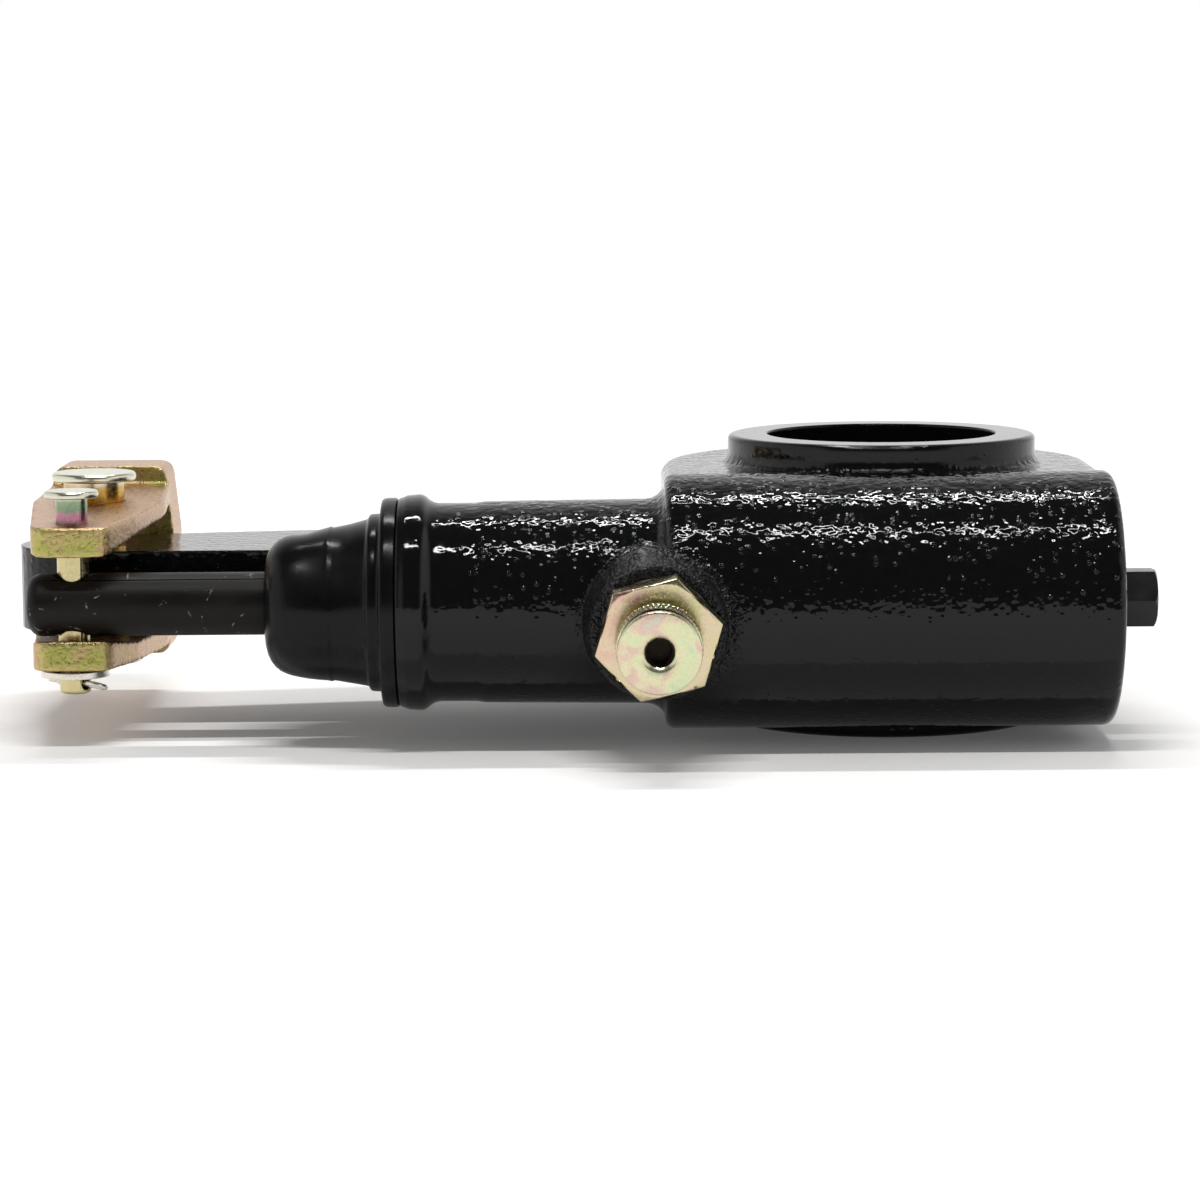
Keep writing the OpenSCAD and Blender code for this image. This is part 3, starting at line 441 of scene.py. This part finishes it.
def metalFinish(name, stops, patch, roughness, grain=0.6, pits=0.015, turn=0.0, levels=None, soil=0.0):
    # metal under a thin film: tint shifts in soft patches, and fine pits scatter the gloss and hold soil;
    # with turn set, the tint also shifts by face direction as a painted iridescent sheen
    touch = metalTouch
    mat, tree, shader, place = startMaterial(name)
    shader.inputs["Metallic"].default_value = 1.0
    here = {"Vector": (place, "Object")}
    film = addNode(tree, "ShaderNodeTexNoise",
                   {"Scale": 1 / (patch * mm), "Detail": 3.0, "Roughness": 0.5, "Distortion": 0.6}, here)
    if levels:
        # the tint follows the height on the piece, and the patches only disturb it
        split = addNode(tree, "ShaderNodeSeparateXYZ", links=here)
        height = addNode(tree, "ShaderNodeMapRange",
                         {"From Min": levels[0] * mm, "From Max": levels[1] * mm}, {"Value": (split, "Z")})
        shift = addNode(tree, "ShaderNodeMath", {1: touch["disturb"]},
                        {0: (film, "Fac"), 2: (height, "Result")}, operation="MULTIPLY_ADD")
    else:
        # the tint turns on faces that don't look along y: a painted iridescent sheen, fixed by face
        # direction
        facing = addNode(tree, "ShaderNodeSeparateXYZ", links={"Vector": (place, "Normal")})
        upright = addNode(tree, "ShaderNodeMath", links={0: (facing, "Y")}, operation="ABSOLUTE")
        thin = addNode(tree, "ShaderNodeMapRange", {"To Min": turn, "To Max": 0.0},
                       {"Value": (upright, "Value")})
        shift = addNode(tree, "ShaderNodeMath", links={0: (film, "Fac"), 1: (thin, "Result")},
                        operation="ADD")
    tone = addNode(tree, "ShaderNodeValToRGB", links={"Fac": (shift, "Value")})
    setStops(tone, stops)
    texture = addNode(tree, "ShaderNodeTexNoise",
                      {"Scale": 1 / (grain * mm), "Detail": 4.0, "Roughness": 0.65}, here)
    poreLow, poreHigh = touch["pores"]
    pores = addNode(tree, "ShaderNodeMapRange",
                    {"From Min": poreLow, "From Max": poreHigh, "To Min": 1.0 - soil, "To Max": 1.0},
                    {"Value": (texture, "Fac")})
    coat = addNode(tree, "ShaderNodeVectorMath", links={0: (tone, "Color"), "Scale": (pores, "Result")},
                   operation="SCALE")
    tree.links.new(coat.outputs["Vector"], shader.inputs["Base Color"])
    bump = addNode(tree, "ShaderNodeBump", {"Distance": pits * mm}, {"Height": (texture, "Fac")})
    tree.links.new(bump.outputs["Normal"], shader.inputs["Normal"])
    dull = addNode(tree, "ShaderNodeMapRange",
                   {"From Min": noiseLow, "From Max": noiseHigh,
                    "To Min": roughness - touch["smoother"], "To Max": roughness + touch["rougher"]},
                   {"Value": (texture, "Fac")})
    tree.links.new(dull.outputs["Result"], shader.inputs["Roughness"])
    return mat


finishes = {"castingPaint": castPaintFinish(), "phosphate": phosphateFinish()}
finishes.update({key: satinFinish(**spec) for key, spec in satins.items()})
finishes.update({key: metalFinish(**spec) for key, spec in metals.items()})

# which finish each CAD node shows
dressing = {
    "housing": "castingPaint", "arm_bushing": "bronze", "grease_fitting": "brightZinc",
    "cam_gear": "gearSteel", "gear_bearing_ring": "gearSteel", "gear_retaining_ring": "springSteel",
    "gear_seal_upper": "sealRubber", "gear_seal_lower": "sealRubber",
    "worm_shaft": "hexPaint", "worm_thrust_washer": "gearSteel", "worm_collar": "gearSteel",
    "worm_seal": "sealRubber", "actuator_piston": "gearSteel", "piston_retaining_ring": "springSteel",
    "actuator_rod": "phosphate", "boot": "bootRubber",
    "pawl_cap": "capZinc", "pawl_gasket": "softAluminium", "pawl": "gearSteel",
    "pawl_spring": "springSteel", "pawl_knob": "knobZinc",
    "clevis": "clevisZinc", "large_pin": "largePinZinc", "large_pin_clip": "brightZinc",
    "small_pin": "pinZinc", "small_pin_washer": "brightZinc", "small_pin_cotter": "brightZinc",
}

# broken edges, in mm, where the real piece is turned or pressed
edges = {
    "large_pin": 0.25, "small_pin": 0.25, "pawl_cap": 0.25, "actuator_rod": 0.2, "large_pin_clip": 0.15,
    "small_pin_washer": 0.2, "grease_fitting": 0.15,
}
# how they are found: corners joined within mm, faces taken as flat and edges as sharp in degrees
edgeRule = {"weld": 0.002, "flat": 0.5, "sharp": 38, "segments": 3}

# a forging is round on every edge: its node is taken as a fine grid, in mm, and smoothed in rounds
forged = {"clevis": (0.4, 8)}


def addModifier(node, name, kind, **settings):
    modifier = node.modifiers.new(name, kind)
    for key, value in settings.items():
        setattr(modifier, key, value)


def dressNodes():
    for name, finish in dressing.items():
        nodes[name].data.materials.clear()
        nodes[name].data.materials.append(finishes[finish])
    for name, (grid, rounds) in forged.items():
        addModifier(nodes[name], "fineGrid", "REMESH", mode="VOXEL", voxel_size=grid * mm,
                    use_smooth_shade=True)
        addModifier(nodes[name], "forgedEdge", "SMOOTH", factor=0.5, iterations=rounds)
    for name, width in edges.items():
        addModifier(nodes[name], "joinCorners", "WELD", merge_threshold=edgeRule["weld"] * mm)
        addModifier(nodes[name], "wholeFaces", "DECIMATE", decimate_type="DISSOLVE",
                    angle_limit=math.radians(edgeRule["flat"]))
        addModifier(nodes[name], "brokenEdge", "BEVEL", width=width * mm, segments=edgeRule["segments"],
                    limit_method="ANGLE", angle_limit=math.radians(edgeRule["sharp"]),
                    use_clamp_overlap=False)
        addModifier(nodes[name], "evenShade", "WEIGHTED_NORMAL")


dressNodes()
print("CAD nodes dressed")

latheSharp = 50  # degrees between faces of a turned piece from which an edge stays sharp


def latheMesh(name, profile, origin, along, steps, ripple):
    # turns a closed profile of (distance, radius) in mm round an axis; ripple changes the radius
    along = along.normalized()
    side = along.orthogonal().normalized()
    up = along.cross(side)
    mesh = bpy.data.meshes.new(name)
    shape = bmesh.new()
    rings = []
    for row, (distance, radius) in enumerate(profile):
        ring = []
        for k in range(steps):
            turn = 2 * math.pi * k / steps
            way = side * math.cos(turn) + up * math.sin(turn)
            r = (radius + ripple(row, k, way)) * mm
            ring.append(shape.verts.new(origin + along * (distance * mm) + way * r))
        rings.append(ring)
    for i in range(len(rings)):
        near, far = rings[i], rings[(i + 1) % len(rings)]
        for k in range(steps):
            j = (k + 1) % steps
            shape.faces.new((near[k], near[j], far[j], far[k]))
    bmesh.ops.recalc_face_normals(shape, faces=shape.faces)
    shape.to_mesh(mesh)
    shape.free()
    mesh.set_sharp_from_angle(angle=math.radians(latheSharp))
    for face in mesh.polygons:
        face.use_smooth = True
    piece = bpy.data.objects.new(name, mesh)
    scene.collection.objects.link(piece)
    return piece


# rubber boot, in mm: start and stretch are places along x, other distances run from the start along the rod
bootShape = {
    "start": -99.6, "steps": 160, "stretchFrom": -106.5, "stretchTo": -124.0,
    # the slack skin begins behind the seat and lies outside this radius; its sag grows over a length
    "slackFrom": 6.2, "slackRadius": 9, "sag": 0.3, "sagFrom": 6, "sagOver": 12,
    # dents: distance, degrees from the top towards the camera, depth, length, half width in degrees
    "dents": [(18.5, -8, 0.6, 3.0, 26), (10.5, 24, 0.5, 2.2, 22), (9.6, -28, 0.4, 2.4, 18),
              (17.0, 52, 0.4, 3.6, 16), (13.0, 70, 0.35, 3.0, 14)],
    "profile": [
        # inside, out to the lip on the rod
        (-3.4, 12.6), (2.5, 13.0), (6.0, 13.7), (14.0, 12.8), (21.0, 11.4), (23.0, 9.4), (23.6, 7.4),
        (23.8, 6.42),
        # lip and dome
        (26.4, 6.42), (26.62, 6.8), (26.68, 7.6), (26.55, 9.0), (26.2, 10.4), (25.6, 11.6), (24.8, 12.6),
        (23.8, 13.4), (22.4, 14.05), (21.0, 14.45), (19.5, 14.75), (18.0, 15.0), (16.2, 15.25),
        (14.6, 15.42),
        # fine rib and cone
        (14.0, 15.5), (13.7, 15.62), (13.35, 15.62), (13.05, 15.45), (12.6, 15.52), (11.0, 15.85),
        (9.5, 16.15), (8.0, 16.45), (6.3, 16.8),
        # step and seating ring
        (6.0, 16.95), (5.86, 17.3), (5.6, 17.68), (5.2, 17.85), (4.2, 17.9), (3.5, 17.95), (3.28, 18.2),
        (3.2, 18.8), (3.18, 20.1), (3.05, 20.7), (2.6, 21.0), (1.9, 21.1), (0.5, 21.1), (0.12, 21.0),
        (0.02, 20.7),
        # spigot in the barrel
        (0.02, 15.0), (-3.4, 14.95),
    ],
}


def buildBoot():
    spec = bootShape

    def slack(row, step, way):
        distance, radius = spec["profile"][row]
        if distance < spec["slackFrom"] or radius < spec["slackRadius"]:
            return 0.0
        change = -spec["sag"] * way.z * min(1.0, (distance - spec["sagFrom"]) / spec["sagOver"])
        around = math.degrees(math.atan2(-way.y, way.z))
        for where, turn, depth, length, width in spec["dents"]:
            change -= depth * math.exp(-((distance - where) / length) ** 2 - ((around - turn) / width) ** 2)
        return change

    foot = wormAxis + Vector((spec["start"] * mm, 0, 0))
    boot = latheMesh("boot_rubber", spec["profile"], foot, Vector((-1, 0, 0)), spec["steps"], slack)
    boot.data.materials.append(finishes["bootRubber"])
    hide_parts("boot")
    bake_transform(boot)


# knob on the pawl stem: outlines as (distance, radius) in mm; distances run out from the barrel axis
knobShape = {
    "inside": [(36.0, 4.02), (36.0, 5.6), (37.5, 5.6)],  # collar round the stem
    "rim": [(37.5, 7.72), (37.75, 8.32)],
    "knurl": [(38.0, 8.42), (39.4, 8.42), (40.8, 8.42)], "notches": 56, "notchDepth": 0.42,
    "neck": [(41.05, 8.32), (41.2, 8.02), (41.2, 7.2), (43.0, 7.2)],  # end of the flange and groove
    "front": [(43.0, 8.0), (43.2, 8.2), (44.2, 8.2), (44.42, 8.1), (44.5, 7.85), (44.5, 5.6), (44.5, 3.75),
              (44.44, 3.6), (44.0, 2.9)],  # turned face, down to the edge of the hole
    # thread of the hole: radius, first and last turn, pitch, and one turn as (share of the pitch, depth)
    "hole": 2.85, "threadTop": 43.9, "threadEnd": 40.4, "pitch": 0.8,
    "thread": [(0.0, 0.0), (0.35, 0.02), (0.5, 0.3), (0.65, 0.3)],
    "floor": [(40.2, 2.65), (40.05, 0.02), (39.8, 0.02), (39.8, 4.02)],
}


def buildKnob():
    spec = knobShape
    hole = []
    depth = spec["threadTop"]
    while depth > spec["threadEnd"]:
        hole += [(depth - spec["pitch"] * share, spec["hole"] - cut) for share, cut in spec["thread"]]
        depth -= spec["pitch"]
    profile = []
    first = {}  # row at which each outline begins
    for part in ("inside", "rim", "knurl", "neck", "front"):
        first[part] = len(profile)
        profile += spec[part]
    first["hole"] = len(profile)
    profile += hole + spec["floor"]
    beat = 4  # steps for each notch, half of them cut in
    half = beat // 2
    steps = spec["notches"] * beat

    def notch(row, step, way):
        if first["knurl"] <= row < first["neck"]:
            # each row is turned by half a notch, which crosses the cuts
            return -spec["notchDepth"] if (step + half * (row - first["knurl"])) % beat < half else 0.0
        return 0.0

    knob = latheMesh("knob_turned", profile, pawlFoot, pawlOut, steps, notch)
    knob.data.materials.append(finishes["knobZinc"])
    knob.data.materials.append(finishes["oilAndGrooveShade"])
    # oily steel in the thread, and the same dark steel in the groove behind the face as painted shade
    for face in knob.data.polygons:
        row = face.index // steps
        threadOilAndGrooveShade = row >= first["hole"] - 1 or first["neck"] < row < first["front"]
        face.material_index = 1 if threadOilAndGrooveShade else 0
    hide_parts("pawl_knob")
    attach(knob, "pawl")


# cotter pin: one bent wire, in mm and degrees; u runs along the pin's cross hole to the eye, v is up
cotterShape = {
    "at": (-165.1, -34.9), "up": 2.0, "turn": -38.0, "roll": 70.0, "wire": 0.5,
    "path": [(-6.0, 1.5), (-4.6, 0.85), (-3.6, 0.54), (0.0, 0.51), (3.3, 0.53), (4.0, 1.0), (4.9, 1.65),
             (6.2, 1.85), (7.4, 1.3), (7.8, 0.0)],
}


def buildCotter():
    spec = cotterShape
    turn = Matrix.Rotation(math.radians(spec["turn"]), 3, "Z")
    roll = Matrix.Rotation(math.radians(spec["roll"]), 3, "X")
    low = Vector(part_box("small_pin")[0]).z
    centre = Vector((spec["at"][0] * mm, spec["at"][1] * mm, low + spec["up"] * mm))
    points = spec["path"] + [(u, -v) for u, v in reversed(spec["path"][:-1])]
    curve = bpy.data.curves.new("cotterWire", "CURVE")
    curve.dimensions = "3D"
    curve.bevel_depth = spec["wire"] * mm
    curve.bevel_resolution = 4
    curve.use_fill_caps = True
    spline = curve.splines.new("NURBS")
    spline.points.add(len(points) - 1)
    for point, (u, v) in zip(spline.points, points):
        point.co = (*(centre + turn @ roll @ Vector((u, 0, v)) * mm), 1)
    spline.use_endpoint_u = True
    spline.order_u = 3
    wire = bpy.data.objects.new("cotterWire", curve)
    scene.collection.objects.link(wire)
    bpy.context.view_layer.update()
    bent = wire.evaluated_get(bpy.context.evaluated_depsgraph_get())
    cotter = bpy.data.objects.new("cotter_wire", bpy.data.meshes.new_from_object(bent))
    scene.collection.objects.link(cotter)
    bpy.data.objects.remove(wire)
    cotter.data.materials.clear()
    cotter.data.materials.append(finishes["brightZinc"])
    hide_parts("small_pin_cotter")
    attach(cotter, "clevis")


def buildSpring():
    # the CAD coil again, as a separate piece between the cap and the pawl head
    coil = nodes["pawl_spring"]
    spring = bpy.data.objects.new("spring_coil", coil.data.copy())
    spring.matrix_world = coil.matrix_world
    scene.collection.objects.link(spring)
    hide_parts("pawl_spring")
    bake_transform(spring)


buildBoot()
buildKnob()
buildCotter()
buildSpring()
print("boot, knob, cotter and spring built")

print("done")
